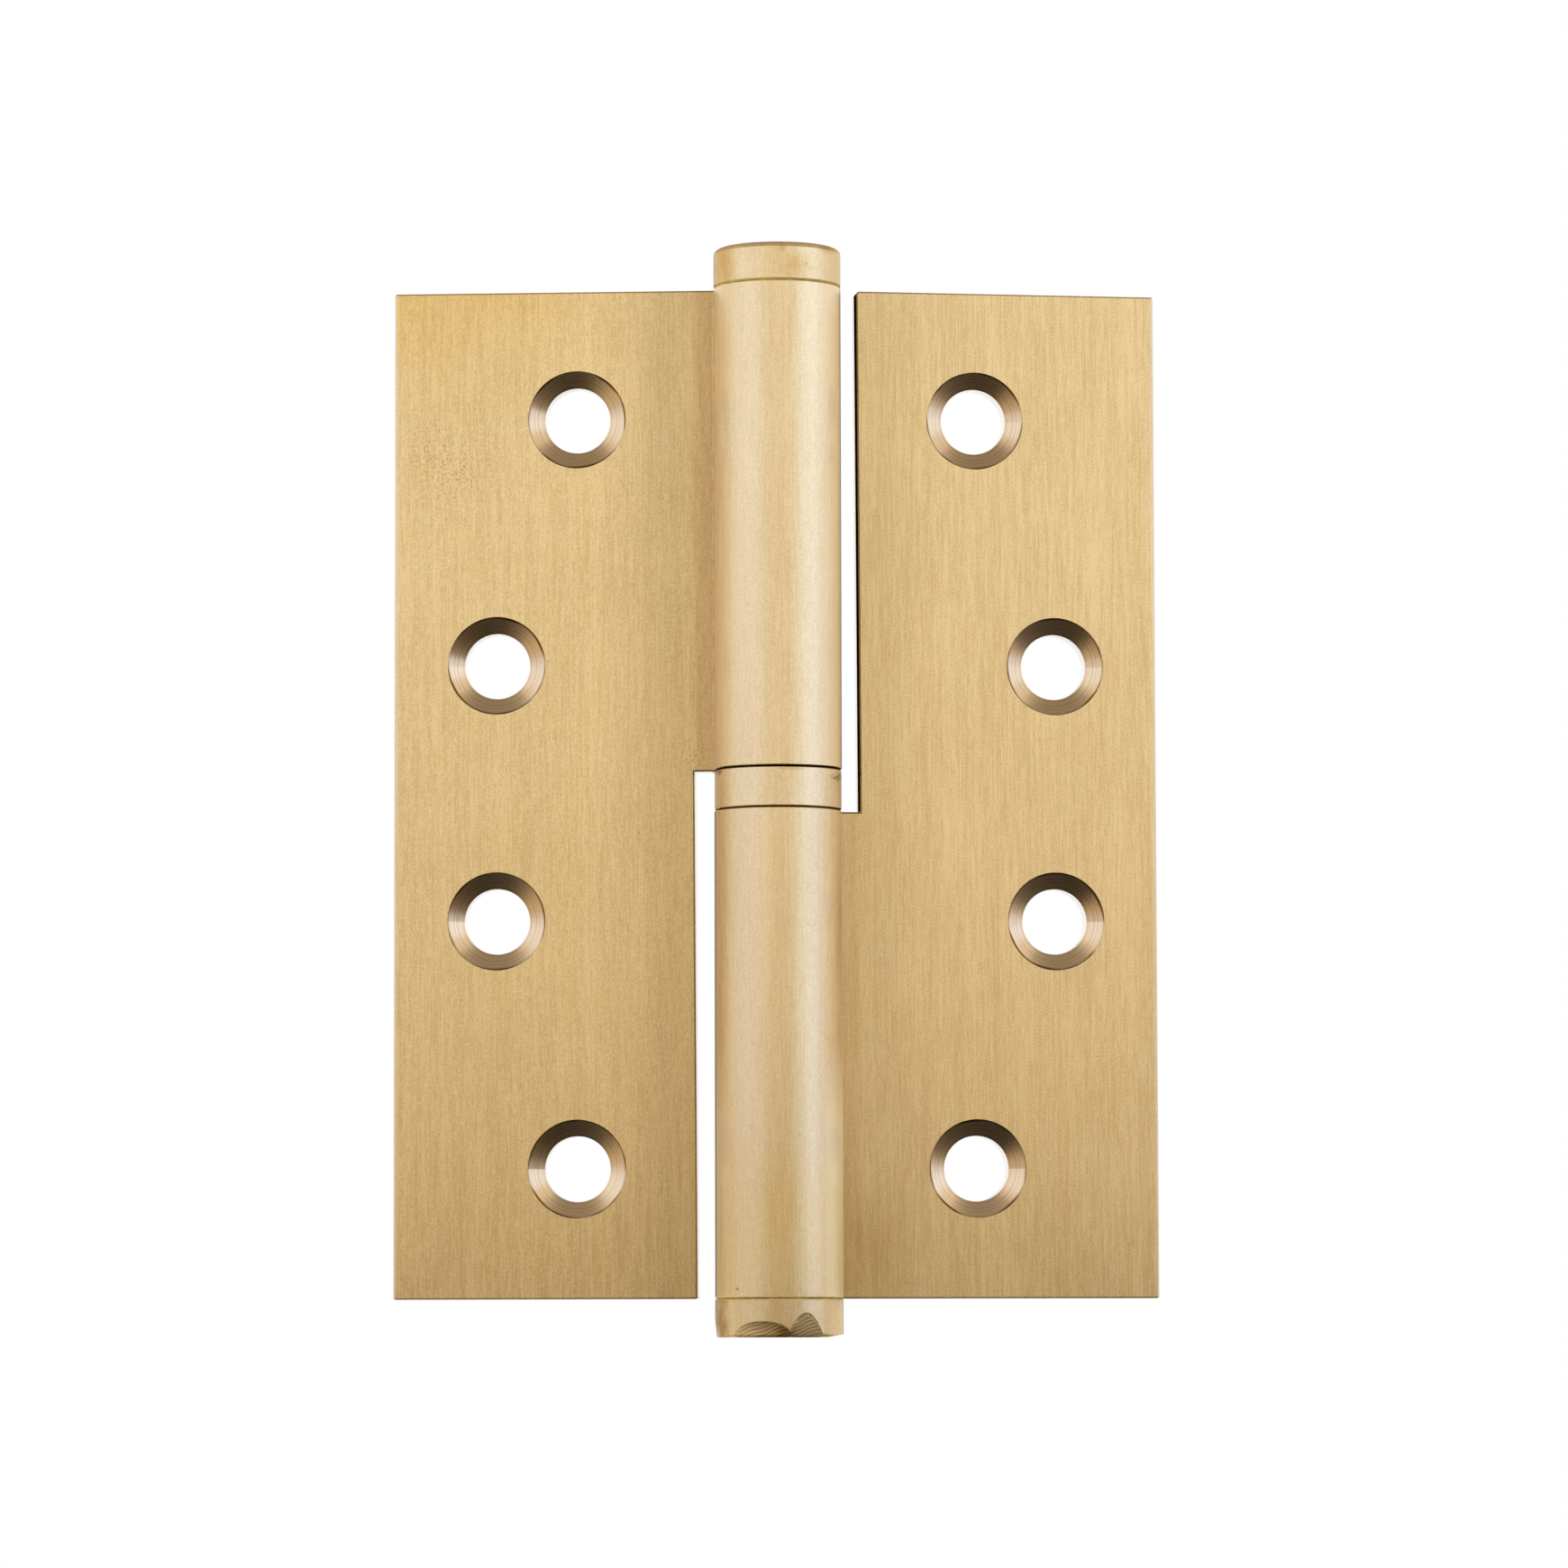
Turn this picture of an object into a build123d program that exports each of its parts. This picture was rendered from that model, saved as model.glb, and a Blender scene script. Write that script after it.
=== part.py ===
from build123d import *
import math
import os

# Lift-off butt hinge in solid brass. Two like leaves are cut from one drawn section, a flat
# strip with a round bar along its edge, and each keeps half of the bar as its knuckle. The
# frame leaf's knuckle is the lower one, and a pin is pressed into it. The door leaf's knuckle
# drops over that pin and turns on a loose ring, so the door lifts straight off. A pressed-in
# cap closes the far end of each knuckle.
#
# Millimetres. +Z runs up the pin, with the origin on its axis at the leaves' mid-height. The
# frame leaf reaches along +X with its countersunk face towards -Y. The door leaf stands open
# on the -X side, folded a little back past flat.

# Drawn section and leaves
leaf_height = 100.0
leaf_reach = 38.2  # pin axis to the leaf's outer edge
leaf_thickness = 3.0
leaf_set_back = 0.75  # countersunk face behind the pin axis, so half the gap when shut
knuckle_diameter = 12.6
front_fillet = 0.25  # in the corner between the countersunk face and the knuckle
back_fillet = 1.5  # in the corner behind
edge_break = 0.15  # on the rims of leaves, knuckles, ring and caps
knuckle_gap = 1.8  # other leaf's knuckle to the cut-back edge of this leaf, at the leaf's end
gap_widening = 0.25  # by which that gap is wider at the milled step, as the edge leans
worn_corner_radius = 0.4  # the frame leaf's top corner beside the knuckle has been knocked round

# Countersunk screw holes, two near the knuckle and two further out
hole_diameter = 6.5
sink_diameter = 9.7
sink_depth = 1.0
near_holes_from_axis = 20.0
near_holes_spacing = 74.4
far_holes_from_axis = 28.0
far_holes_spacing = 25.4

# Pin, pressed into the frame knuckle and free to turn in the door knuckle
pin_diameter = 7.0
pin_in_door_knuckle = 36.0
pin_tip_length = 1.6
pin_tip_diameter = 5.4
running_clearance = 0.05  # all round the pin
bore_lead = 0.4  # where the pin enters the door knuckle and the ring

# Loose ring between the knuckles
ring_diameter = 12.5
ring_height = 4.0

# Caps
cap_height = 3.8
top_cap_edge_radius = 0.6
bottom_cap_edge_radius = 0.3
spigot_length = 5.0
spigot_lead = 0.4

# Flats that a file or grinder left on the bottom cap's rim: degrees round the pin from the
# front (+ towards the frame leaf), height up the side, width along the rim
filed_flats = [(17.0, 2.4, 3.7), (-24.5, 1.6, 4.8), (-88.0, 1.7, 3.8)]

# Fold of the open leaves back past flat, in degrees, as the hinge is shown
fold_back = 12.3

# Worked-out places
knuckle_radius = knuckle_diameter / 2
knuckle_height = (leaf_height - ring_height) / 2
leaf_top = leaf_height / 2
ring_top = ring_height / 2
cut_back = knuckle_radius + knuckle_gap
leaf_back = leaf_set_back + leaf_thickness
running_diameter = pin_diameter + 2 * running_clearance


def circle_x(radius, y):
    """Distance from the axis, along X, at which a circle about it stands at this y."""
    return math.sqrt(radius**2 - y**2)


def drawn_section():
    """Cross-section of the drawn bar: the strip runs out of the round, filleted on both sides."""
    strip = Pos(leaf_reach / 2, leaf_set_back + leaf_thickness / 2) * Rectangle(leaf_reach, leaf_thickness)
    section = Circle(knuckle_radius) + strip
    for y, radius in ((leaf_set_back, front_fillet), (leaf_back, back_fillet)):
        corner = Vector(circle_x(knuckle_radius, y), y)
        section = fillet(section.vertices().sort_by_distance(corner)[0], radius)
    return section


def screw_hole():
    """Tool for one countersunk hole, with its mouth on the plane y = 0 and its way in along +Y."""
    hole_radius, sink_radius = hole_diameter / 2, sink_diameter / 2
    slope = (sink_radius - hole_radius) / sink_depth
    outside = 1.0
    profile = Polyline(
        (0, -outside),
        (sink_radius + outside * slope, -outside),
        (hole_radius, sink_depth),
        (hole_radius, leaf_thickness + outside),
        (0, leaf_thickness + outside),
        close=True,
    )
    return revolve(make_face(profile), Axis.Y)


def leaf(bore_diameter, worn=False):
    """One leaf with its knuckle, placed as the frame leaf: knuckle at the bottom, leaf along +X."""
    body = Pos(0, 0, -leaf_height / 2) * extrude(drawn_section(), leaf_height)

    # The upper part of the bar is milled away for the ring and the other leaf's knuckle, up to
    # an edge that leans a little away from them towards the step
    step_height = knuckle_height - leaf_top
    step_cut_back = cut_back + gap_widening
    above = leaf_top + knuckle_gap
    lean = gap_widening / (leaf_top - step_height)
    window = Polyline(
        (-knuckle_diameter, step_height),
        (step_cut_back, step_height),
        (cut_back - lean * knuckle_gap, above),
        (-knuckle_diameter, above),
        close=True,
    )
    body -= extrude(Plane.XZ * make_face(window), 2 * knuckle_diameter, both=True)
    if worn:
        corner = Vector(cut_back, leaf_set_back + leaf_thickness / 2, leaf_top)
        body = fillet(body.edges().filter_by(Axis.Y).sort_by_distance(corner)[0], worn_corner_radius)

    # Every sharp outer edge is broken; the inside corner of the milled step stays as cut
    step = Vector(step_cut_back, leaf_set_back + leaf_thickness / 2, step_height)
    step_corner = body.edges().filter_by(Axis.Y).sort_by_distance(step)[0]
    end_edges = body.faces().filter_by(Axis.Z).edges()
    side_edges = body.edges().filter_by(
        lambda edge: edge.center().X > cut_back - edge_break and abs(edge.tangent_at(0.5).Z) > 0.9
    )
    body = chamfer([edge for edge in end_edges + side_edges if edge != step_corner], edge_break)

    # Bore for the pin, with a lead-in at the end that meets the ring
    body -= Pos(0, 0, -leaf_top) * Cylinder(
        bore_diameter / 2, knuckle_height, align=(Align.CENTER, Align.CENTER, Align.MIN)
    )
    mouth = body.edges().filter_by(GeomType.CIRCLE).sort_by_distance(Vector(0, 0, -ring_top))[0]
    body = chamfer(mouth, bore_lead)

    for distance, spacing in (
        (near_holes_from_axis, near_holes_spacing), (far_holes_from_axis, far_holes_spacing)
    ):
        for side in (-1, 1):
            body -= Pos(distance, leaf_set_back, side * spacing / 2) * screw_hole()
    return body


def turned(points):
    """A turned piece from the half-outline that its (radius, z) points give."""
    return revolve(make_face(Plane.XZ * Polyline(*points, close=True)), Axis.Z)


def hinge_pin():
    """Plain pin from the bottom cap's spigot up into the door knuckle, with a coned tip."""
    foot = -leaf_top + spigot_length
    top = ring_top + pin_in_door_knuckle
    return turned([
        (0, foot),
        (pin_diameter / 2, foot),
        (pin_diameter / 2, top - pin_tip_length),
        (pin_tip_diameter / 2, top),
        (0, top),
    ])


def bearing_ring():
    """Loose ring round the pin, with its rims broken inside and out."""
    ring = Cylinder(ring_diameter / 2, ring_height) - Cylinder(running_diameter / 2, ring_height)
    rims = ring.edges().filter_by(GeomType.CIRCLE).sort_by(SortBy.RADIUS)
    ring = chamfer(rims[-2:], edge_break)
    rims = ring.edges().filter_by(GeomType.CIRCLE).sort_by(SortBy.RADIUS)
    return chamfer(rims[:2], bore_lead)


def cap(bore_diameter, edge_radius):
    """Cap as it sits on top of a knuckle: its seat is the plane z = 0, its spigot points down."""
    rim, spigot = knuckle_diameter / 2, bore_diameter / 2
    body = turned([
        (0, -spigot_length),
        (spigot - spigot_lead, -spigot_length),
        (spigot, spigot_lead - spigot_length),
        (spigot, 0),
        (rim - edge_break, 0),
        (rim, edge_break),
        (rim, cap_height),
        (0, cap_height),
    ])
    top_rim = body.edges().filter_by(GeomType.CIRCLE).sort_by(Axis.Z)[-1]
    return fillet(top_rim, edge_radius)


def filed_flat(turn, rise, width):
    """Block whose face slopes in towards the bottom and cuts one flat into the lower cap's rim."""
    depth = knuckle_radius - circle_x(knuckle_radius, width / 2)
    slope = math.degrees(math.atan2(depth, rise))
    size = 2 * width
    block = Box(size, size, size, align=(Align.CENTER, Align.MAX, Align.CENTER))
    top_of_flat = Pos(0, -knuckle_radius, rise - leaf_top - cap_height)
    return Rot(0, 0, turn) * top_of_flat * Rot(slope, 0, 0) * block


# The frame side
frame_leaf = leaf(pin_diameter, worn=True)
pin = hinge_pin()
bottom_cap = Pos(0, 0, -leaf_top) * Rot(180, 0, 0) * cap(pin_diameter, bottom_cap_edge_radius)
for turn, rise, width in filed_flats:
    bottom_cap -= filed_flat(turn, rise, width)

# The ring, and the door side, whose leaf is the frame leaf's twin turned end for end
ring = bearing_ring()
door_leaf = Rot(0, 0, -fold_back) * Rot(0, 180, 0) * leaf(running_diameter)
top_cap = Pos(0, 0, leaf_top) * cap(running_diameter, top_cap_edge_radius)

nodes = {
    "frame_leaf": frame_leaf,
    "hinge_pin": pin,
    "bottom_cap": bottom_cap,
    "bearing_ring": ring,
    "door_leaf": door_leaf,
    "top_cap": top_cap,
}

os.makedirs("parts", exist_ok=True)
for name, shape in nodes.items():
    shape.label = name
    export_step(shape, f"parts/{name}.step")
    print(f"{name}: {len(shape.solids())} solid, {shape.volume:.1f} mm3, valid {shape.is_valid}")
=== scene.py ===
import math

import bpy
import numpy as np
from mathutils import Matrix, Vector


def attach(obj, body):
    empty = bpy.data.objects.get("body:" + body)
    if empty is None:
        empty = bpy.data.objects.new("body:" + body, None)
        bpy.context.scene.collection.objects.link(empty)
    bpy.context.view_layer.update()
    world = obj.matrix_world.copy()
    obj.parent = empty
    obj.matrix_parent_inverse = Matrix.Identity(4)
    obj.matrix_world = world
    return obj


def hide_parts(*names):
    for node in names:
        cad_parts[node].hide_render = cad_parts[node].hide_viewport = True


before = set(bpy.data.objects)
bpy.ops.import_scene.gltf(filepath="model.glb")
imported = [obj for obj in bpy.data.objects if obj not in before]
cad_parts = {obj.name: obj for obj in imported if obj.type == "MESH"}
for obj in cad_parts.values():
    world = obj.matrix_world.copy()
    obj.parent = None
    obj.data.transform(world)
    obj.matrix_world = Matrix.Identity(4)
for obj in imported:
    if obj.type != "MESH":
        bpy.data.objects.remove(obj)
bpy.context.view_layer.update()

# Frame leaf. Solid brass, cut from a drawn bar whose edge is a full round, milled back for the
# other leaf's knuckle, drilled and countersunk, then brushed along the knuckle on a fine belt.
# It is screwed into the recess in the door frame.
LEAF_FACE = 0.75  # behind the pin's axis; all sizes are in millimetres down to the floor's section
LEAF_END = 50.0
LEAF_REACH = 38.2
KNUCKLE_RADIUS = 6.3
CUT_BACK_AT_END = 8.1  # the milled edge leans, so it is further out at the step
CUT_BACK_AT_STEP = 8.35
WORN_CORNER = 0.4  # radius to which that edge's far corner has been knocked
RING_HALF = 2.0
HOLES = ((20.0, 37.2), (28.0, 12.7))  # out from the pin's axis, and up or down from mid-height
HOLE_RADIUS = 3.25
SINK_RADIUS = 4.85
SINK_DEPTH = 1.0
CUTTER_RINGS = 0.15  # spacing of the rings that the cutter leaves
EDGE_BREAK = 0.15  # on every rim, rounded over by the belt, so it spreads the light
RIM_GLOSS = 0.7
# colour of the painted highlight on the rims at the knuckle's seams
RIM_HIGHLIGHT_COLOUR = "#FFE8A0"
FINER_ON_ROUND = 0.3  # share of the scratches' contrast that the round parts lack
GRAIN = (0.03, 0.02, 1.0)  # the belt ran a little askew of the pin
STREAK = 0.85  # how much the scratches stretch a highlight across themselves
DIRT_REACH = (0.9, 0.3)  # how far in from the outside the seams' dirt ends, and is still thick
DIRT = "#281602"
DIRT_GLINT = "#5A3C14"
PAINTED_SIDE_SHADE = "#86734A"


def linear(code):
    """An sRGB hex colour as linear red, green, blue and alpha, by the sRGB curve's two branches."""
    parts = np.array([int(code[i:i + 2], 16) / 255 for i in (1, 3, 5)])
    parts = np.where(parts <= 0.04045, parts / 12.92, ((parts + 0.055) / 1.055) ** 2.4)
    return (*map(float, parts), 1.0)


def add(tree, kind, inputs=None, stops=(), **settings):
    """Add a node, set its properties, and give each input a value or a link from a node or socket.

    stops are a colour ramp's places and sRGB hex colours, in order."""
    node = tree.nodes.new("ShaderNode" + kind)
    for name, value in settings.items():
        setattr(node, name, value)
    if stops:
        ramp = node.color_ramp.elements
        for place, code in stops[1:-1]:
            ramp.new(place).color = linear(code)
        for end in (0, -1):
            ramp[end].position, ramp[end].color = stops[end][0], linear(stops[end][1])
    for key, value in (inputs or {}).items():
        if isinstance(value, bpy.types.Node):
            value = next(out for out in value.outputs if out.enabled)
        if isinstance(value, bpy.types.NodeSocket):
            tree.links.new(value, node.inputs[key])
        else:
            node.inputs[key].default_value = value
    return node


def new_material(name):
    """An empty node material and the Object coordinates that its patterns are drawn on."""
    made = bpy.data.materials.new(name)
    made.use_nodes = True
    made.node_tree.nodes.clear()
    return made, made.node_tree, add(made.node_tree, "TexCoord").outputs["Object"]


def brushed_skin(tree, here, seed, pale, middle, deep):
    """Brass that a fine belt has brushed along +Z: its colour, scratch height and wavy height.

    The tone is a half, plus each noise less a half times its weight. Every noise is stretched along
    the grain only, so the lines run on over a round as over a flat. Deep, middle and pale colours
    are laid over the tone."""
    tone = 0.5
    heights = []
    for across, along, detail, weight in (
        (0.19, 6.0, 2.0, 1.05),  # the belt's lines
        (1.3, 45.0, 2.0, 0.40),  # bands where the belt cut deeper
        (0.16, 1.2, 1.0, 0.65),  # short scratches of single grains
        (0.14, 0.2, 0.0, 0.90),  # grit
        (7.0, 14.0, 3.0, 0.40),  # clouds where it pressed unevenly
    ):
        cell = add(tree, "Mapping", {
            "Vector": here, "Location": (3.1 * seed, 7.7 * seed, 1.9 * seed),
            "Scale": (1000 / across, 1000 / across, 1000 / along),
        })
        noise = add(tree, "TexNoise", {
            "Vector": cell, "Scale": 1.0, "Detail": detail, "Roughness": 0.55,
        })
        part = add(tree, "Math", {0: noise, 1: 0.5}, operation="SUBTRACT")
        tone = add(tree, "Math", {0: part, 1: weight, 2: tone}, operation="MULTIPLY_ADD")
        heights.append(noise)
    ramp = add(tree, "ValToRGB", {"Fac": tone}, stops=[(0.2, deep), (0.5, middle), (0.8, pale)])

    # Pits are where the drawn bar's skin had inclusions: in one cell of 1.7 by 2.4 mm in five, and
    # up to 0.1 mm across
    cell = add(tree, "Mapping", {
        "Vector": here, "Location": (seed, seed, 0), "Scale": (600, 600, 420),
    })
    pits = add(tree, "TexVoronoi", {"Vector": cell, "Scale": 1.0})
    chance = add(tree, "SeparateColor", {0: pits.outputs["Color"]})
    size = add(tree, "MapRange", {"Value": chance, "From Min": 0.8, "To Max": 0.06})
    depth = add(tree, "Math", {0: size, 1: pits}, operation="SUBTRACT")
    pits = add(tree, "MapRange", {"Value": depth, "From Max": 0.02, "To Max": 0.5})
    colour = add(tree, "Mix", {0: pits, 6: ramp, 7: linear("#6E5026")}, data_type="RGBA")
    return colour, heights[0], heights[1]


def stain(tree, place, colour, centre, size, tint, strength, speck=0.0):
    """Colour multiplied by a tint inside a blot with a ragged edge, or in specks if speck has a size.

    The blot is where the distance from its centre, measured in its half-sizes, is below about one."""
    offset = add(tree, "VectorMath", {0: place, 1: centre}, operation="SUBTRACT")
    offset = add(tree, "VectorMath", {0: offset, 1: size}, operation="DIVIDE")
    reach = add(tree, "VectorMath", {0: offset}, operation="LENGTH").outputs["Value"]
    ragged = add(tree, "TexNoise", {"Vector": offset, "Scale": 2.5, "Detail": 3.0})
    reach = add(tree, "Math", {0: ragged, 1: 1.2, 2: reach}, operation="MULTIPLY_ADD")
    mask = add(tree, "MapRange", {
        "Value": reach, "From Min": 1.7, "From Max": 0.8, "To Max": strength,
    })
    if speck:
        specks = add(tree, "TexNoise", {"Vector": place, "Scale": 1 / speck, "Detail": 1.0})
        specks = add(tree, "MapRange", {"Value": specks, "From Min": 0.56, "From Max": 0.64})
        mask = add(tree, "Math", {0: mask, 1: specks}, operation="MULTIPLY")
    return add(tree, "Mix", {
        0: mask, 6: colour, 7: linear(tint),
    }, data_type="RGBA", blend_type="MULTIPLY")


def brass_surface(made, colour, gloss, streak, along, dirt, lines, waves):
    """Finish a brass material: metal in its colour, stretched highlights, dull dirt, fine scratches.

    dirt is 1 where the metal is covered, which takes the edge colour off its glint. lines and waves
    are the heights of the belt's scratches and of the bands where it cut deeper."""
    tree = made.node_tree
    glint = add(tree, "Mix", {
        0: dirt, 6: linear("#FFFFFF"), 7: linear(DIRT_GLINT),
    }, data_type="RGBA")
    bump = add(tree, "Bump", {"Height": waves, "Strength": 1.0, "Distance": 2e-5})
    bump = add(tree, "Bump", {"Height": lines, "Strength": 0.6, "Distance": 2e-5, "Normal": bump})
    shader = add(tree, "BsdfPrincipled", {
        "Base Color": colour, "Metallic": 1.0, "Roughness": gloss, "Anisotropic": streak,
        "Anisotropic Rotation": 0.25, "Tangent": along, "Normal": bump, "Specular Tint": glint,
    })
    add(tree, "OutputMaterial", {"Surface": shader})
    return made


def leaf_tones(tree, place, axes, skin, knuckle_shade, painted_side_highlight, stains):
    """A leaf's brushed colour, with the tones that it has on its flat, its round and its edges.

    place and axes are the point in the leaf's own millimetres, whole and apart: x out from the
    pin's axis, y in from its front, z along the pin with the knuckle below. knuckle_shade is how
    strongly the leaf is darkened towards the knuckle, as painted shade and reflection of it.
    painted_side_highlight is how much lighter the round's sides are painted as a highlight, how much
    further in on the leaf's side, and up to what height. Each stain is what stain() takes, from its
    centre on."""
    x, y, z = axes

    # Yellower and more scratched on the flat than on the round
    on_leaf = add(tree, "MapRange", {
        "Value": x, "From Min": KNUCKLE_RADIUS - 0.1, "From Max": KNUCKLE_RADIUS + 0.2,
    })
    finer = add(tree, "MapRange", {"Value": on_leaf, "To Min": FINER_ON_ROUND, "To Max": 0.0})
    skin = add(tree, "Mix", {0: finer, 6: skin, 7: linear("#E4C692")}, data_type="RGBA")
    skin = add(tree, "Mix", {
        0: on_leaf, 6: skin, 7: linear("#FEFAEC"),
    }, data_type="RGBA", blend_type="MULTIPLY")

    # Painted shade and reflection of the knuckle: darker and browner beside it, in streaks 0.5 mm
    # wide and 14 mm long
    cell = add(tree, "Mapping", {"Vector": place, "Scale": (1 / 0.5, 1 / 0.5, 1 / 14.0)})
    streaks = add(tree, "TexNoise", {"Vector": cell, "Scale": 1.0, "Detail": 3.0})
    near = add(tree, "Math", {0: streaks, 1: 1.8, 2: x}, operation="MULTIPLY_ADD")
    near = add(tree, "MapRange", {"Value": near, "From Min": 6.9, "From Max": 18.9})
    knuckle_shade_ramp = add(tree, "ValToRGB", {"Fac": near}, stops=[
        (0.07, "#DFD4CB"), (0.15, "#DDD5CA"), (0.19, "#E4E0D9"), (0.25, "#EBE9E6"),
        (0.41, "#E8E6E4"), (0.70, "#F7F6F6"), (1.0, "#FFFFFF"),
    ])
    knuckle_shade_mask = add(tree, "Math", {0: on_leaf, 1: knuckle_shade}, operation="MULTIPLY")
    skin = add(tree, "Mix", {
        0: knuckle_shade_mask, 6: skin, 7: knuckle_shade_ramp,
    }, data_type="RGBA", blend_type="MULTIPLY")

    # Painted highlight down the sides of the round, and a lighter, greyer painted reflection along the
    # leaf's outer edge
    painted_highlight, further_in, up_to = painted_side_highlight
    aside = add(tree, "Math", {0: x, 1: further_in}, operation="ADD")
    aside = add(tree, "Math", {0: aside}, operation="ABSOLUTE")
    aside = add(tree, "MapRange", {
        "Value": aside, "From Min": 4.4, "From Max": 5.6, "To Max": painted_highlight,
    })
    on_round = add(tree, "MapRange", {
        "Value": x, "From Min": KNUCKLE_RADIUS - 0.02, "From Max": KNUCKLE_RADIUS - 0.1,
    })
    below = add(tree, "MapRange", {"Value": z, "From Min": up_to + 6.0, "From Max": up_to - 2.0})
    for mask in (on_round, below):
        aside = add(tree, "Math", {0: aside, 1: mask}, operation="MULTIPLY")
    skin = add(tree, "Mix", {0: aside, 6: skin, 7: linear("#FFEEC4")}, data_type="RGBA")
    outside = add(tree, "MapRange", {
        "Value": x, "From Min": LEAF_REACH - 0.5, "From Max": LEAF_REACH - 0.05, "To Max": 0.5,
    })
    skin = add(tree, "Mix", {0: outside, 6: skin, 7: linear("#ECDFC6")}, data_type="RGBA")
    for mark in stains:
        skin = stain(tree, place, skin, *mark)

    # Painted shade in a band down the side of the knuckle that faces the other leaf
    side_shade_mask = add(tree, "MapRange", {"Value": x, "From Min": -5.0, "From Max": -5.5, "To Max": 0.9})
    for start, end in ((-0.75, -0.55), (3.4, 1.8)):
        part = add(tree, "MapRange", {"Value": y, "From Min": start, "From Max": end})
        side_shade_mask = add(tree, "Math", {0: side_shade_mask, 1: part}, operation="MULTIPLY")
    return add(tree, "Mix", {0: side_shade_mask, 6: skin, 7: linear(PAINTED_SIDE_SHADE)}, data_type="RGBA")


def nearest_hole(tree, place, z):
    """Distance from the nearer hole's axis on the leaf's plane, and the direction round it."""
    folded = add(tree, "VectorMath", {0: place}, operation="ABSOLUTE")
    away, reach = [], []
    for out, up in HOLES:
        offset = add(tree, "VectorMath", {0: folded, 1: (out, 0, up)}, operation="SUBTRACT")
        offset = add(tree, "VectorMath", {0: offset, 1: (1, 0, 1)}, operation="MULTIPLY")
        away.append(offset)
        reach.append(add(tree, "VectorMath", {0: offset}, operation="LENGTH").outputs["Value"])
    radius = add(tree, "Math", {0: reach[0], 1: reach[1]}, operation="MINIMUM")
    second = add(tree, "Math", {0: reach[0], 1: reach[1]}, operation="GREATER_THAN")
    offset = add(tree, "Mix", {0: second, 4: away[0], 5: away[1]}, data_type="VECTOR")
    off_x, _, off_z = add(tree, "SeparateXYZ", {0: offset}).outputs
    side = add(tree, "Math", {0: z}, operation="SIGN")
    off_z = add(tree, "Math", {0: off_z, 1: side}, operation="MULTIPLY")
    minus_z = add(tree, "Math", {0: off_z, 1: -1.0}, operation="MULTIPLY")
    return radius, add(tree, "CombineXYZ", {0: minus_z, 2: off_x})


def countersink(tree, place, y, radius):
    """Where the holes' cones are, and their brass, browner than the leaf, in the rings that the
    cutter leaves and with a dark rim of uneven width."""
    inside = add(tree, "MapRange", {
        "Value": radius, "From Min": SINK_RADIUS + 0.03, "From Max": SINK_RADIUS,
    })
    front = add(tree, "MapRange", {
        "Value": y, "From Min": LEAF_FACE + SINK_DEPTH + 0.03, "From Max": LEAF_FACE + SINK_DEPTH,
    })
    sunk = add(tree, "Math", {0: inside, 1: front}, operation="MULTIPLY")
    ring_place = add(tree, "Math", {0: radius, 1: 1 / CUTTER_RINGS}, operation="MULTIPLY")
    rings = add(tree, "TexNoise", {
        "W": ring_place, "Scale": 1.0, "Detail": 2.0,
    }, noise_dimensions="1D")
    rings = add(tree, "MapRange", {"Value": rings, "From Min": 0.3, "From Max": 0.7})
    turned = add(tree, "Mix", {
        0: rings, 6: linear("#D6B084"), 7: linear("#EED3A6"),
    }, data_type="RGBA")
    uneven = add(tree, "TexNoise", {"Vector": place, "Scale": 0.3, "Detail": 1.0})
    uneven = add(tree, "MapRange", {
        "Value": uneven, "From Min": 0.35, "From Max": 0.65, "To Min": -0.16, "To Max": 0.04,
    })
    rim = add(tree, "Math", {0: radius, 1: uneven}, operation="ADD")
    rim = add(tree, "MapRange", {
        "Value": rim, "From Min": SINK_RADIUS - 0.24, "From Max": SINK_RADIUS - 0.08,
    })
    return sunk, add(tree, "Mix", {0: rim, 6: turned, 7: linear("#6E4717")}, data_type="RGBA")


def milled_edge(tree, axes, dark_depth):
    """Where the milled edge is dark along its front, how far the point is out from that edge, and
    where it is past the knuckle.

    The edge leans, and its far corner is worn away by a cube of the height over the last stretch.
    dark_depth is how far the dark strip reaches in from the front."""
    x, y, z = axes
    lean = add(tree, "MapRange", {
        "Value": z, "From Min": -RING_HALF, "From Max": LEAF_END,
        "To Min": CUT_BACK_AT_STEP, "To Max": CUT_BACK_AT_END,
    })
    worn_off = add(tree, "MapRange", {
        "Value": z, "From Min": LEAF_END - WORN_CORNER, "From Max": LEAF_END,
    })
    worn_off = add(tree, "Math", {0: worn_off, 1: 3.0}, operation="POWER")
    lean = add(tree, "Math", {0: worn_off, 1: WORN_CORNER, 2: lean}, operation="MULTIPLY_ADD")
    from_edge = add(tree, "Math", {0: x, 1: lean}, operation="SUBTRACT")
    edge = add(tree, "MapRange", {"Value": from_edge, "From Min": 0.035, "From Max": 0.01})
    past_knuckle = add(tree, "MapRange", {
        "Value": x, "From Min": KNUCKLE_RADIUS + 0.2, "From Max": KNUCKLE_RADIUS + 0.4,
    })
    cut_half = add(tree, "MapRange", {
        "Value": z, "From Min": -RING_HALF + 0.02, "From Max": -RING_HALF + 0.1,
    })
    dark_end = LEAF_FACE + dark_depth
    shallow = add(tree, "MapRange", {
        "Value": y, "From Min": dark_end + 0.08, "From Max": dark_end - 0.08,
    })
    for mask in (past_knuckle, cut_half, shallow):
        edge = add(tree, "Math", {0: edge, 1: mask}, operation="MULTIPLY")
    return edge, from_edge, past_knuckle


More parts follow.
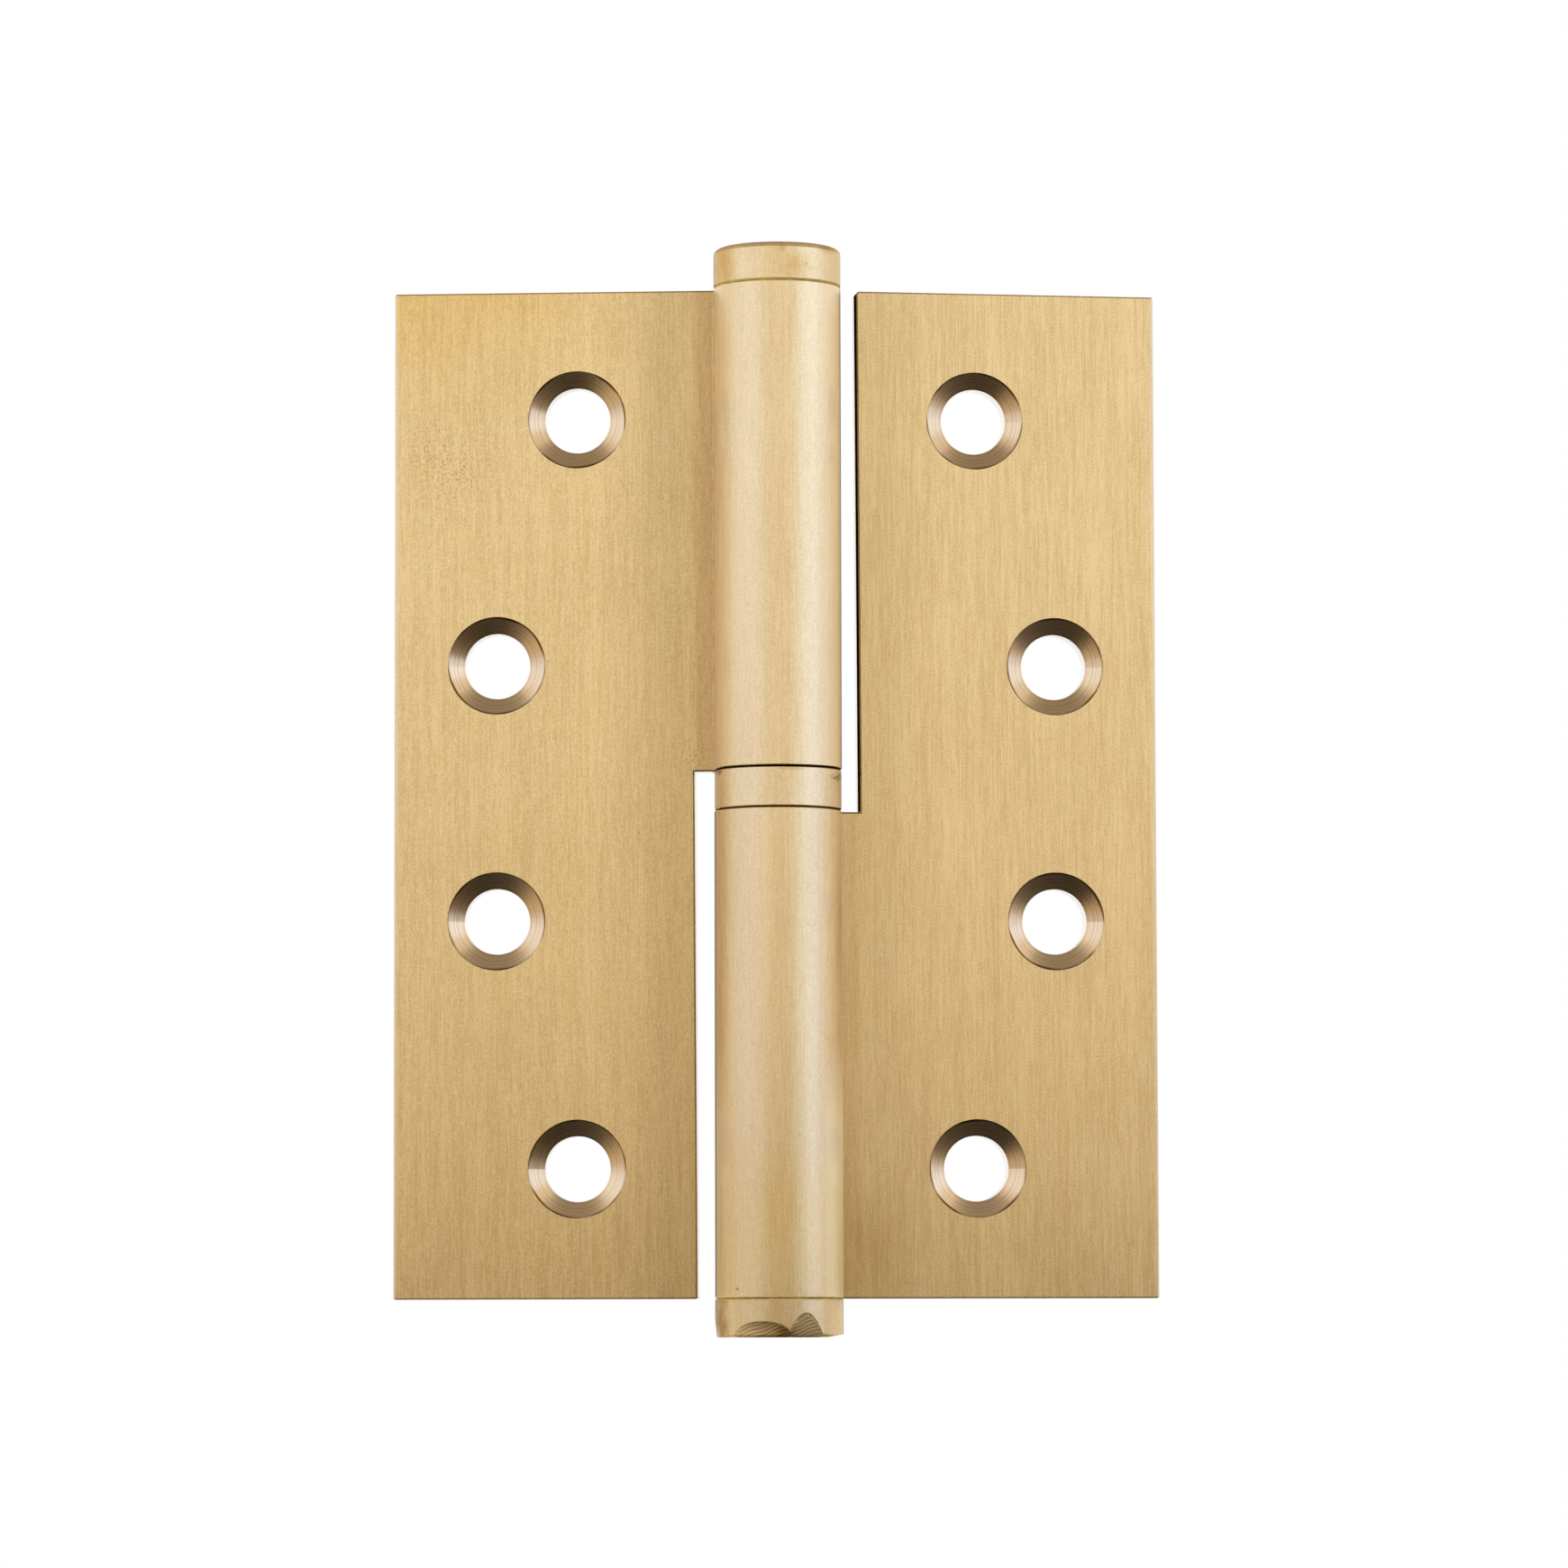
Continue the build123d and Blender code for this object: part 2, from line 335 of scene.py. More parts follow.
def knuckle_dirt(tree, place, axes, ring_seam, cap_seam):
    """Where dirt lies in the seams at both ends of the knuckle, where the corner between knuckle and
    leaf is darker in patches, and the point's distance from the pin's axis.

    ring_seam is how wide the dirt is at the ring, and cap_seam how dark it is at the cap."""
    x, y, z = axes
    patchy = add(tree, "TexNoise", {"Vector": place, "Scale": 0.8, "Detail": 3.0})
    seam_width = add(tree, "MapRange", {
        "Value": patchy, "From Min": 0.3, "From Max": 0.7, "To Min": 0.03, "To Max": 0.09,
    })
    seam_low = add(tree, "Math", {0: z, 1: -LEAF_END}, operation="SUBTRACT")
    seam_low = add(tree, "Math", {0: seam_width, 1: seam_low}, operation="SUBTRACT")
    seam_low = add(tree, "MapRange", {
        "Value": seam_low, "From Min": -0.02, "From Max": 0.02, "To Max": cap_seam,
    })
    seam_top = -RING_HALF - ring_seam
    seam_high = add(tree, "MapRange", {
        "Value": z, "From Min": seam_top - 0.04, "From Max": seam_top + 0.02,
    })
    seams = add(tree, "Math", {0: seam_low, 1: seam_high}, operation="MAXIMUM")
    out = add(tree, "VectorMath", {0: place, 1: (1, 1, 0)}, operation="MULTIPLY")
    out = add(tree, "VectorMath", {0: out}, operation="LENGTH").outputs["Value"]
    for start, end in (
        (KNUCKLE_RADIUS - DIRT_REACH[0], KNUCKLE_RADIUS - DIRT_REACH[1]),
        (KNUCKLE_RADIUS + 0.3, KNUCKLE_RADIUS + 0.1),
    ):
        part = add(tree, "MapRange", {"Value": out, "From Min": start, "From Max": end})
        seams = add(tree, "Math", {0: seams, 1: part}, operation="MULTIPLY")
    corner = add(tree, "Math", {0: x, 1: KNUCKLE_RADIUS + 0.04}, operation="SUBTRACT")
    corner = add(tree, "Math", {0: corner}, operation="ABSOLUTE")
    corner = add(tree, "MapRange", {"Value": corner, "From Min": 0.13, "From Max": 0.06})
    in_front = add(tree, "MapRange", {"Value": y, "From Min": 1.3, "From Max": 1.1})
    broken = add(tree, "MapRange", {
        "Value": patchy, "From Min": 0.4, "From Max": 0.62, "To Min": 0.4, "To Max": 0.95,
    })
    for mask in (in_front, broken):
        corner = add(tree, "Math", {0: corner, 1: mask}, operation="MULTIPLY")
    return seams, corner, out


def leaf_brass(name, turn, seed, knuckle_shade, painted_side_highlight, dark_depth, ring_seam, cap_seam, stains):
    """Satin brushed brass of one leaf, with its turned countersinks, milled edge and dark seams.

    turn brings Object coordinates to the leaf's own millimetres, and undoing it is the same turn
    again. The rest is what leaf_tones(), milled_edge() and knuckle_dirt() take."""
    made, tree, here = new_material(name)
    skin, lines, waves = brushed_skin(tree, here, seed, "#F0D29E", "#E4C692", "#D6B884")
    place = add(tree, "Mapping", {"Vector": here, "Rotation": turn, "Scale": (1000, 1000, 1000)})
    axes = add(tree, "SeparateXYZ", {0: place}).outputs
    _, y, z = axes
    skin = leaf_tones(tree, place, axes, skin, knuckle_shade, painted_side_highlight, stains)
    radius, round_hole = nearest_hole(tree, place, z)
    sunk, cone = countersink(tree, place, y, radius)
    colour = add(tree, "Mix", {0: sunk, 6: skin, 7: cone}, data_type="RGBA")

    # Near white on the holes' walls, a painted reflection of the white behind them, and bare bright
    # metal where a cutter worked and no belt has been, behind the dark strip on the milled edge and
    # step
    edge, from_edge, past_knuckle = milled_edge(tree, axes, dark_depth)
    drilled = add(tree, "Math", {0: radius, 1: HOLE_RADIUS + 0.06}, operation="LESS_THAN")
    milled = add(tree, "Math", {0: from_edge, 1: 0.02}, operation="LESS_THAN")
    step = add(tree, "Math", {0: z, 1: -RING_HALF - 0.02}, operation="GREATER_THAN")
    for mask in (past_knuckle, step):
        milled = add(tree, "Math", {0: milled, 1: mask}, operation="MULTIPLY")
    bright = add(tree, "Math", {0: drilled, 1: milled}, operation="MAXIMUM")
    not_sunk = add(tree, "Math", {0: 1.0, 1: sunk}, operation="SUBTRACT")
    bright = add(tree, "Math", {0: bright, 1: not_sunk}, operation="MULTIPLY")
    colour = add(tree, "Mix", {0: bright, 6: colour, 7: linear("#FFFDF8")}, data_type="RGBA")
    seams, corner, out = knuckle_dirt(tree, place, axes, ring_seam, cap_seam)
    # Darker and browner in broken patches down the corner between knuckle and leaf
    colour = add(tree, "Mix", {0: corner, 6: colour, 7: linear("#9A6C32")}, data_type="RGBA")

    # Rims at the ends, rounded over by the belt, with a painted highlight on the knuckle's rims
    from_middle = add(tree, "Math", {0: z}, operation="ABSOLUTE")
    at_end = add(tree, "MapRange", {
        "Value": from_middle, "From Min": LEAF_END - EDGE_BREAK - 0.02,
        "From Max": LEAF_END - EDGE_BREAK,
    })
    off_face = add(tree, "MapRange", {
        "Value": from_middle, "From Min": LEAF_END - 0.002, "From Max": LEAF_END - 0.01,
    })
    on_knuckle = add(tree, "MapRange", {
        "Value": out, "From Min": KNUCKLE_RADIUS + 0.1, "From Max": KNUCKLE_RADIUS,
    })
    rim_highlight = add(tree, "Math", {0: off_face, 1: at_end}, operation="MULTIPLY")
    rim_highlight = add(tree, "Math", {0: rim_highlight, 1: on_knuckle}, operation="MULTIPLY")
    colour = add(tree, "Mix", {0: rim_highlight, 6: colour, 7: linear(RIM_HIGHLIGHT_COLOUR)}, data_type="RGBA")
    dark = add(tree, "Math", {0: edge, 1: seams}, operation="MAXIMUM")
    colour = add(tree, "Mix", {0: dark, 6: colour, 7: linear(DIRT)}, data_type="RGBA")

    # The scratches run up the pin, and round each hole, and end at the rims
    round_hole = add(tree, "Mapping", {
        "Vector": round_hole, "Rotation": turn,
    }, vector_type="VECTOR")
    round_hole = add(tree, "VectorMath", {0: round_hole}, operation="NORMALIZE")
    along = add(tree, "Mix", {0: sunk, 4: GRAIN, 5: round_hole}, data_type="VECTOR")
    along = add(tree, "VectorTransform", {
        0: along,
    }, vector_type="VECTOR", convert_from="OBJECT", convert_to="WORLD")
    gloss = add(tree, "MapRange", {
        "Value": lines, "From Min": 0.3, "From Max": 0.7, "To Min": 0.26, "To Max": 0.34,
    })
    streak = STREAK
    for mask, its_gloss, its_streak in ((sunk, 0.3, 0.6), (at_end, RIM_GLOSS, 0.0)):
        gloss = add(tree, "Mix", {0: mask, 2: gloss, 3: its_gloss}, data_type="FLOAT")
        streak = add(tree, "Mix", {0: mask, 2: streak, 3: its_streak}, data_type="FLOAT")
    gloss = add(tree, "Mix", {0: edge, 2: gloss, 3: 0.7}, data_type="FLOAT")
    return brass_surface(made, colour, gloss, streak, along, dark, lines, waves)


def finish_node(node, material):
    """Give a CAD node its material in every slot, and leave its mesh alone."""
    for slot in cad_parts[node].material_slots:
        slot.material = material


finish_node("frame_leaf", leaf_brass(
    "brushed brass of the frame leaf", turn=(0, 0, 0), seed=1, knuckle_shade=0.55,
    painted_side_highlight=(0.9, 0.8, -31.0), dark_depth=1.6, ring_seam=0.05, cap_seam=1.0, stains=[
        ((9.5, 0.75, -45.0), (5.0, 2.0, 7.0), "#F3EEE0", 0.8),
        # Painted shade down the right side of the knuckle's round
        ((5.9, -2.2, -14.0), (0.9, 3.0, 13.0), "#EDE2D0", 0.9),
        ((-4.75, -4.2, -49.1), (0.17, 2.0, 0.14), "#93602F", 0.9),
        ((0.0, -6.3, -45.0), (9.0, 9.0, 11.0), "#FFFDEF", 1.0),
    ],
))

# Hinge pin. Plain steel rod, centreless ground so that fine lines run round it, pressed into the
# frame leaf's knuckle. It shows only when the door leaf is lifted off.
GROUND_LINES = 0.12
made, tree, here = new_material("ground steel")
cell = add(tree, "Mapping", {
    "Vector": here, "Scale": (1000 / 6.0, 1000 / 6.0, 1000 / GROUND_LINES),
})
lines = add(tree, "TexNoise", {"Vector": cell, "Scale": 1.0, "Detail": 3.0})
colour = add(tree, "Mix", {
    0: lines, 6: linear("#B4B4B0"), 7: linear("#D6D5D0"),
}, data_type="RGBA")
gloss = add(tree, "MapRange", {
    "Value": lines, "From Min": 0.3, "From Max": 0.7, "To Min": 0.2, "To Max": 0.32,
})
bump = add(tree, "Bump", {"Height": lines, "Strength": 0.5, "Distance": 1e-5})
shader = add(tree, "BsdfPrincipled", {
    "Base Color": colour, "Metallic": 1.0, "Roughness": gloss, "Normal": bump,
})
add(tree, "OutputMaterial", {"Surface": shader})
finish_node("hinge_pin", made)

# Bottom cap. Turned brass disc with a spigot that is pressed into the knuckle, brushed with it.
# Someone has taken a coarse file to its rim, which left two rough flats in front whose chatter
# marks rise to the right, and a taper and a low bevel at the sides. It replaces the plain CAD cap.
CAP_HEIGHT = 3.8
CAP_EDGE_RADIUS = 0.3
SPIGOT_RADIUS = 3.5
SPIGOT_LENGTH = 5.0
SPIGOT_LEAD = 0.4
SIDE_SHADE_FRONT = (0.107, 0.994, 0.0)  # the painted side shade lies where a point is near square to this way, which is square to the open hinge
SEAM_RIM = (LEAF_END + 0.08, 0.08)  # the cap's rim at the seam: mid-height and half-width
# Turn, rise, width, bow of the cut, share of a full cut's depth, and whether it left chatter
FILED_FLATS = (
    (16.5, 2.4, 4.3, 0.75, 0.9, 1), (-24.0, 1.55, 5.9, 2.0, 0.35, 1),
    (-94.0, 2.0, 3.9, 1.0, 1.0, 0), (82.0, 0.3, 8.4, 1.0, 1.0, 0),
)
UNCUT = 9.0  # a radius that is outside the cap
FADED = (-22, 14)  # degrees: the left flat fades out from here to the left, over this much
CHATTER_SPACING = 0.36
CHATTER_DEPTH = 0.018
FILE_BURN = -3.0  # degrees, where the two rough flats meet and the file has burnt the brass
BURN_RADIUS = 0.9


def turned_brass(name, seed, tint, side_shade, seams, rims, stains):
    """Turned brass, brushed along the pin with the knuckles, with dirt in the seams.

    tint is laid over the whole piece, and side_shade is how dark the painted shade down its two
    sides is. Each seam is its height and its dirt's half-width, and each rim the mid-height and
    half-width of an edge that the belt has rounded, which spreads the light, with a painted
    highlight where it meets the knuckle. Each stain is what stain() takes. Where the mesh has an
    attribute called filed, the brass is as a coarse file left it, darker where the value is higher."""
    made, tree, here = new_material(name)
    skin, lines, waves = brushed_skin(tree, here, seed, "#F0D4A2", "#E4C896", "#D6BA88")
    skin = add(tree, "Mix", {0: FINER_ON_ROUND, 6: skin, 7: linear("#E4C896")}, data_type="RGBA")
    place = add(tree, "VectorMath", {0: here, "Scale": 1000.0}, operation="SCALE")
    z = add(tree, "SeparateXYZ", {0: place}).outputs[2]
    skin = add(tree, "Mix", {
        0: 1.0, 6: skin, 7: linear(tint),
    }, data_type="RGBA", blend_type="MULTIPLY")
    for mark in stains:
        skin = stain(tree, place, skin, *mark)

    # Painted shade in a band down both sides
    flat = add(tree, "VectorMath", {0: place, 1: (1, 1, 0)}, operation="MULTIPLY")
    out = add(tree, "VectorMath", {0: flat}, operation="LENGTH").outputs["Value"]
    toward_front = add(tree, "VectorMath", {0: flat, 1: SIDE_SHADE_FRONT}, operation="DOT_PRODUCT")
    side_shade_mask = add(tree, "MapRange", {
        "Value": out, "From Min": 6.0, "From Max": 6.15, "To Max": side_shade,
    })
    for start, end in ((-1.35, -1.1), (3.4, 1.8)):
        part = add(tree, "MapRange", {
            "Value": toward_front.outputs["Value"], "From Min": start, "From Max": end,
        })
        side_shade_mask = add(tree, "Math", {0: side_shade_mask, 1: part}, operation="MULTIPLY")
    skin = add(tree, "Mix", {0: side_shade_mask, 6: skin, 7: linear(PAINTED_SIDE_SHADE)}, data_type="RGBA")

    # Dirt in the seams, of uneven width
    patchy = add(tree, "TexNoise", {"Vector": place, "Scale": 0.8, "Detail": 3.0})
    dark = 0.0
    for height, half_width in seams:
        off = add(tree, "Math", {0: z, 1: height}, operation="SUBTRACT")
        off = add(tree, "Math", {0: off}, operation="ABSOLUTE")
        off = add(tree, "Math", {0: patchy, 1: 0.08, 2: off}, operation="MULTIPLY_ADD")
        near = add(tree, "MapRange", {
            "Value": off, "From Min": half_width + 0.08, "From Max": half_width + 0.04,
        })
        dark = add(tree, "Math", {0: near, 1: dark}, operation="MAXIMUM")
    outer = add(tree, "MapRange", {
        "Value": out, "From Min": KNUCKLE_RADIUS - DIRT_REACH[0],
        "From Max": KNUCKLE_RADIUS - DIRT_REACH[1],
    })
    dark = add(tree, "Math", {0: dark, 1: outer}, operation="MULTIPLY")

    # Rims that the belt has rounded over, with a painted highlight at the seam with the knuckle
    rounded = 0.0
    for height, half_width in rims:
        off = add(tree, "Math", {0: z, 1: height}, operation="SUBTRACT")
        off = add(tree, "Math", {0: off}, operation="ABSOLUTE")
        off = add(tree, "MapRange", {
            "Value": off, "From Min": half_width + 0.02, "From Max": half_width,
        })
        rounded = add(tree, "Math", {0: off, 1: rounded}, operation="MAXIMUM")
    if rims:
        in_seam = add(tree, "MapRange", {
            "Value": out, "From Min": KNUCKLE_RADIUS, "From Max": KNUCKLE_RADIUS - 0.02,
        })
        at_knuckle = add(tree, "Math", {0: z}, operation="ABSOLUTE")
        at_knuckle = add(tree, "Math", {
            0: at_knuckle, 1: LEAF_END + EDGE_BREAK + 0.02,
        }, operation="LESS_THAN")
        painted_highlight = rounded
        for mask in (in_seam, at_knuckle):
            painted_highlight = add(tree, "Math", {0: mask, 1: painted_highlight}, operation="MULTIPLY")
        skin = add(tree, "Mix", {0: painted_highlight, 6: skin, 7: linear(RIM_HIGHLIGHT_COLOUR)}, data_type="RGBA")
    colour = add(tree, "Mix", {0: dark, 6: skin, 7: linear(DIRT)}, data_type="RGBA")

    # Metal as the file left it, with a fuzzy edge
    filed = add(tree, "Attribute", attribute_name="filed").outputs["Fac"]
    cut = add(tree, "ValToRGB", {"Fac": filed}, stops=[
        (0.3, "#FADDA6"), (0.62, "#C49E60"), (1.0, "#84602F"),
    ])
    fuzzy = add(tree, "Math", {0: lines, 1: 0.25, 2: filed}, operation="MULTIPLY_ADD")
    is_filed = add(tree, "MapRange", {"Value": fuzzy, "From Min": 0.2, "From Max": 0.38})
    colour = add(tree, "Mix", {0: is_filed, 6: colour, 7: cut}, data_type="RGBA")
    gloss = add(tree, "MapRange", {
        "Value": lines, "From Min": 0.3, "From Max": 0.7, "To Min": 0.26, "To Max": 0.34,
    })
    gloss = add(tree, "Mix", {0: is_filed, 2: gloss, 3: 0.5}, data_type="FLOAT")
    streak = STREAK
    if rims:
        gloss = add(tree, "Mix", {0: rounded, 2: gloss, 3: RIM_GLOSS}, data_type="FLOAT")
        spread = add(tree, "Math", {0: rounded, 1: is_filed}, operation="MAXIMUM")
        streak = add(tree, "Mix", {0: spread, 2: STREAK, 3: 0.0}, data_type="FLOAT")
    along = add(tree, "CombineXYZ", dict(enumerate(GRAIN)))
    return brass_surface(made, colour, gloss, streak, along, dark, lines, waves)


def ring_faces(rows, n):
    """The quads that join each ring of n points to the next, as lists of four point numbers."""
    row, col = np.meshgrid(np.arange(rows - 1), np.arange(n), indexing="ij")
    after = (col + 1) % n
    quads = [row * n + col, (row + 1) * n + col, (row + 1) * n + after, row * n + after]
    return np.stack(quads, 2).reshape(-1, 4).tolist()


def closed_rings(name, points):
    """An object whose surface joins each ring of points to the next, with a lid on either end."""
    rows, n = points.shape[:2]
    lids = [list(range(n)), list(range(rows * n - 1, (rows - 1) * n - 1, -1))]
    mesh = bpy.data.meshes.new(name)
    mesh.from_pydata(points.reshape(-1, 3).tolist(), [], ring_faces(rows, n) + lids)
    mesh.shade_smooth()
    mesh.set_sharp_from_angle(angle=math.radians(22))
    solid = bpy.data.objects.new(name, mesh)
    bpy.context.collection.objects.link(solid)
    return solid


def filed_cap():
    """The cap as rings of points about +Z, each drawn in to the planes that the file left.

    A flat lets a point out only to limit / cos(angle from the flat's middle), and the limit falls
    by a power of the height from the knuckle's radius at the flat's top to the chord at the rim. The
    chatter is a sine of the height less a third of the distance along the flat, bent by a slow sine
    of that distance, and the file's attribute is higher in its furrows. The attribute falls towards
    the left end of the left flat, which was only touched, and towards its top, and rises by a bell
    curve of the distance from the burn."""
    arc = np.radians(np.linspace(0, 90, 9))
    foot = -LEAF_END - CAP_HEIGHT
    rim = KNUCKLE_RADIUS - CAP_EDGE_RADIUS
    tip = -LEAF_END + SPIGOT_LENGTH
    side = np.linspace(-LEAF_END - EDGE_BREAK, foot + CAP_EDGE_RADIUS, 58)
    under = np.linspace(rim, 0.001, 14)[1:]
    profile = np.concatenate([
        [(0.001, tip), (SPIGOT_RADIUS - SPIGOT_LEAD, tip), (SPIGOT_RADIUS, tip - SPIGOT_LEAD),
         (SPIGOT_RADIUS, -LEAF_END), (KNUCKLE_RADIUS - EDGE_BREAK, -LEAF_END)],
        np.stack([np.full_like(side, KNUCKLE_RADIUS), side], 1),
        np.stack([
            rim + CAP_EDGE_RADIUS * np.cos(arc), foot + CAP_EDGE_RADIUS * (1 - np.sin(arc)),
        ], 1)[1:],
        np.stack([under, np.full_like(under, foot)], 1),
    ])
    turn = np.linspace(0, 2 * np.pi, 721)[:-1]
    radius, height = (np.repeat(part, len(turn), 1) for part in (profile[:, :1], profile[:, 1:]))
    share = np.minimum(1, radius / rim)
    signed = (turn + np.pi) % (2 * np.pi) - np.pi
    depth, filed = np.zeros_like(radius), np.zeros_like(radius)
    for middle, rise, width, bow, share_cut, marked in FILED_FLATS:
        angle = (turn - math.radians(middle) + np.pi) % (2 * np.pi) - np.pi
        chord = math.sqrt(KNUCKLE_RADIUS ** 2 - (width / 2) ** 2)
        up = (np.maximum(height - foot, 0) / rise) ** bow
        limit = chord + (KNUCKLE_RADIUS - chord) * up
        along = KNUCKLE_RADIUS * np.sin(angle)
        wave = (height - along / 3 + 0.08 * np.sin(1.9 * along + middle)) / CHATTER_SPACING
        wave = np.sin(2 * np.pi * wave)
        chatter = CHATTER_DEPTH * (0.5 + 0.5 * wave)
        chatter = chatter * (0.75 + 0.25 * np.sin(2.3 * along + 3 * height))
        facing = np.abs(angle) < 1.2
        out = np.where(facing, limit / np.cos(np.where(facing, angle, 0)), UNCUT) * share
        gone = share_cut * (radius - np.where(height < foot + rise, out, UNCUT))
        grip = marked * np.clip(gone / 0.08, 0, 1)
        depth = np.maximum(depth, np.where(gone > 0, gone + chatter * grip * share, 0))

        faded = np.clip((math.radians(FADED[0]) - signed) / math.radians(FADED[1]), 0, 1)
        shallow = np.clip(up, 0, 1) * (bow > 1)
        tone = 0.56 + 0.09 * wave - 0.1 * faded - 0.12 * shallow
        ragged = 0.5 + 0.5 * np.sin(5 * along + 4 * height) * np.sin(11 * along - 7 * height)
        start = (0.03 + 0.07 * shallow) * ragged
        strong = np.clip((gone / share_cut - start) / (0.03 + 0.12 * faded), 0, 1)
        filed = np.maximum(filed, tone * strong * marked)
    burn_along = KNUCKLE_RADIUS * ((turn - math.radians(FILE_BURN) + np.pi) % (2 * np.pi) - np.pi)
    burn_up = height - foot - 0.4
    filed = filed * (1 + 0.8 * np.exp(-(burn_along ** 2 + burn_up ** 2) / BURN_RADIUS ** 2))
    filed = np.where(radius < rim * 0.85, 0, filed)
    radius = radius - depth
    points = np.stack([radius * np.sin(turn), -radius * np.cos(turn), height], 2) / 1000
    cap = closed_rings("bottom_cap_filed", points)
    attribute = cap.data.attributes.new("filed", "FLOAT", "POINT")
    attribute.data.foreach_set("value", filed.ravel().astype(np.float32))
    return cap


cap = filed_cap()
cap.data.materials.append(turned_brass(
    "brushed brass of the bottom cap", seed=3, tint="#FDFAF3", side_shade=0.9, seams=[],
    rims=[(-SEAM_RIM[0], SEAM_RIM[1])],
    stains=[((-6.1, -1.6, -52.2), (1.1, 3.0, 3.4), "#BCA47C", 1.0)],
))
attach(cap, "frame_side")
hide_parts("bottom_cap")

# Bearing ring. Turned brass, loose on the pin between the knuckles, so both can turn on it. A knock
# has raised a rough bruise on its upper rim at the right, which is a lump of its own set into it.
RING_RADIUS = 6.25
BRUISE_TURN = 63.0  # degrees round the pin from the front
BRUISE_HEIGHT = 1.32
BRUISE_HALF_SIZE = (1.9, 0.58)  # along the ring and up it
BRUISE_RIDGES = 0.42  # their spacing
BRUISE_SUNK = 0.03  # how far its rim lies inside the ring


def ring_bruise():
    """A flat lump as rings of points from the middle of its face, round its rim, to its back.

    The rim and the back lie inside the ring. The face stands up to 0.065 mm proud, in ridges that
    are a sine of the distance along the ring plus the height, bent by a sine of the distance."""
    spread, turn = np.meshgrid(
        np.linspace(0.02, np.pi - 0.02, 41), np.linspace(0, 2 * np.pi, 97)[:-1], indexing="ij",
    )
    along = BRUISE_HALF_SIZE[0] * np.sin(spread) * np.cos(turn)
    up = BRUISE_HALF_SIZE[1] * np.sin(spread) * np.sin(turn)
    wave = (along + up) / BRUISE_RIDGES
    ridges = 0.5 + 0.5 * np.sin(2 * np.pi * wave + 1.6 * np.sin(3 * along))
    face, back = np.maximum(np.cos(spread), 0), np.minimum(np.cos(spread), 0)
    radius = RING_RADIUS - BRUISE_SUNK + 0.1 * back + face * (0.05 + 0.045 * ridges)
    angle = math.radians(BRUISE_TURN) + along / RING_RADIUS
    points = np.stack([radius * np.sin(angle), -radius * np.cos(angle), BRUISE_HEIGHT + up], 2)
    return closed_rings("ring_bruise", points / 1000)


ring_brass = turned_brass(
    "brushed brass of the ring", seed=4, tint="#FFFFFF", side_shade=0.5,
    seams=[(-RING_HALF, 0.04), (RING_HALF, 0.04)], rims=[], stains=[
        ((5.5, -3.0, 1.2), (1.2, 2.2, 0.8), "#7C5A38", 0.9, 0.18),
        ((-6.1, -1.6, 1.7), (0.4, 1.0, 0.4), "#A8765A", 0.8),
        ((0.5, -6.2, 1.8), (1.8, 2.0, 0.3), "#E0CAA4", 0.7),
    ],
)
finish_node("bearing_ring", ring_brass)
bruise = ring_bruise()
bruise.data.materials.append(ring_brass)
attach(bruise, "ring")

# Door leaf. The frame leaf's twin, turned end for end. It is screwed to the door's edge, and its
# knuckle drops over the pin. Its upper outer corner is a little redder, with scuffs below.
FOLD_BACK = math.radians(12.3)
finish_node("door_leaf", leaf_brass(
    "brushed brass of the door leaf", turn=(0, math.pi, -FOLD_BACK), seed=2, knuckle_shade=1.0,
    painted_side_highlight=(0.4, 0.0, 10.0), dark_depth=0.15, ring_seam=0.07, cap_seam=0.6, stains=[
        ((36.0, 0.75, -53.0), (22.0, 2.0, 14.0), "#FBF2D8", 1.0),
        ((33.0, 0.75, -33.0), (6.0, 2.0, 6.0), "#C4A67C", 0.55, 0.26),
        ((8.4, 0.75, -3.5), (1.6, 2.0, 1.8), "#C4A474", 0.7, 0.25),
    ],
))

# Top cap. Turned brass like the bottom cap, pressed into the door leaf's knuckle and never filed.
# Its upper edge is rounder, and it has smudges below it.
TOP_EDGE_RIM = (53.55, 0.27)
finish_node("top_cap", turned_brass(
    "brushed brass of the top cap", seed=5, tint="#FBF6EC", side_shade=0.4, seams=[],
    rims=[SEAM_RIM, TOP_EDGE_RIM], stains=[
        ((-5.7, -2.8, 52.0), (1.3, 4.0, 3.4), "#F0DFC2", 1.0),
        ((4.3, -4.6, 53.3), (1.3, 2.0, 0.4), "#C8B084", 0.6),
        ((-0.4, -6.2, 53.1), (0.5, 2.0, 0.5), "#D2B58A", 0.5),
        ((1.0, -6.2, 51.2), (1.8, 2.0, 1.6), "#ECDDBC", 0.7),
        ((2.0, -6.0, 51.6), (0.2, 2.0, 0.3), "#CDB596", 0.5),
    ],
))

# Floor. Plain pale studio floor, below the camera's view of the object.
FLOOR_RADIUS = 3.4  # metres, as are all sizes from here on
FLOOR_HEIGHT = -0.2


def round_sheet(name, radii, heights):
    """A surface of revolution about +Z, facing up: the profile's radii and heights carried round a
    circle, and a small lid in the middle."""
    turn = np.linspace(0, 2 * np.pi, 129)[:-1]
    n = len(turn)
    circle = np.stack([np.sin(turn), -np.cos(turn)], 1)
    across = np.asarray(radii)[:, None, None] * circle
    up = np.broadcast_to(np.asarray(heights)[:, None, None], (len(heights), n, 1))
    points = np.concatenate([across, up], 2).reshape(-1, 3)
    mesh = bpy.data.meshes.new(name)
    mesh.from_pydata(points.tolist(), [], [list(range(n))] + ring_faces(len(radii), n))
    sheet = bpy.data.objects.new(name, mesh)
    bpy.context.collection.objects.link(sheet)
    return sheet


floor = round_sheet("floor", np.linspace(0.001, FLOOR_RADIUS, 12), np.full(12, FLOOR_HEIGHT))
made, tree, _ = new_material("pale matt floor")
shader = add(tree, "BsdfDiffuse", {"Color": linear("#EFEFEF")})
add(tree, "OutputMaterial", {"Surface": shader})
floor.data.materials.append(made)
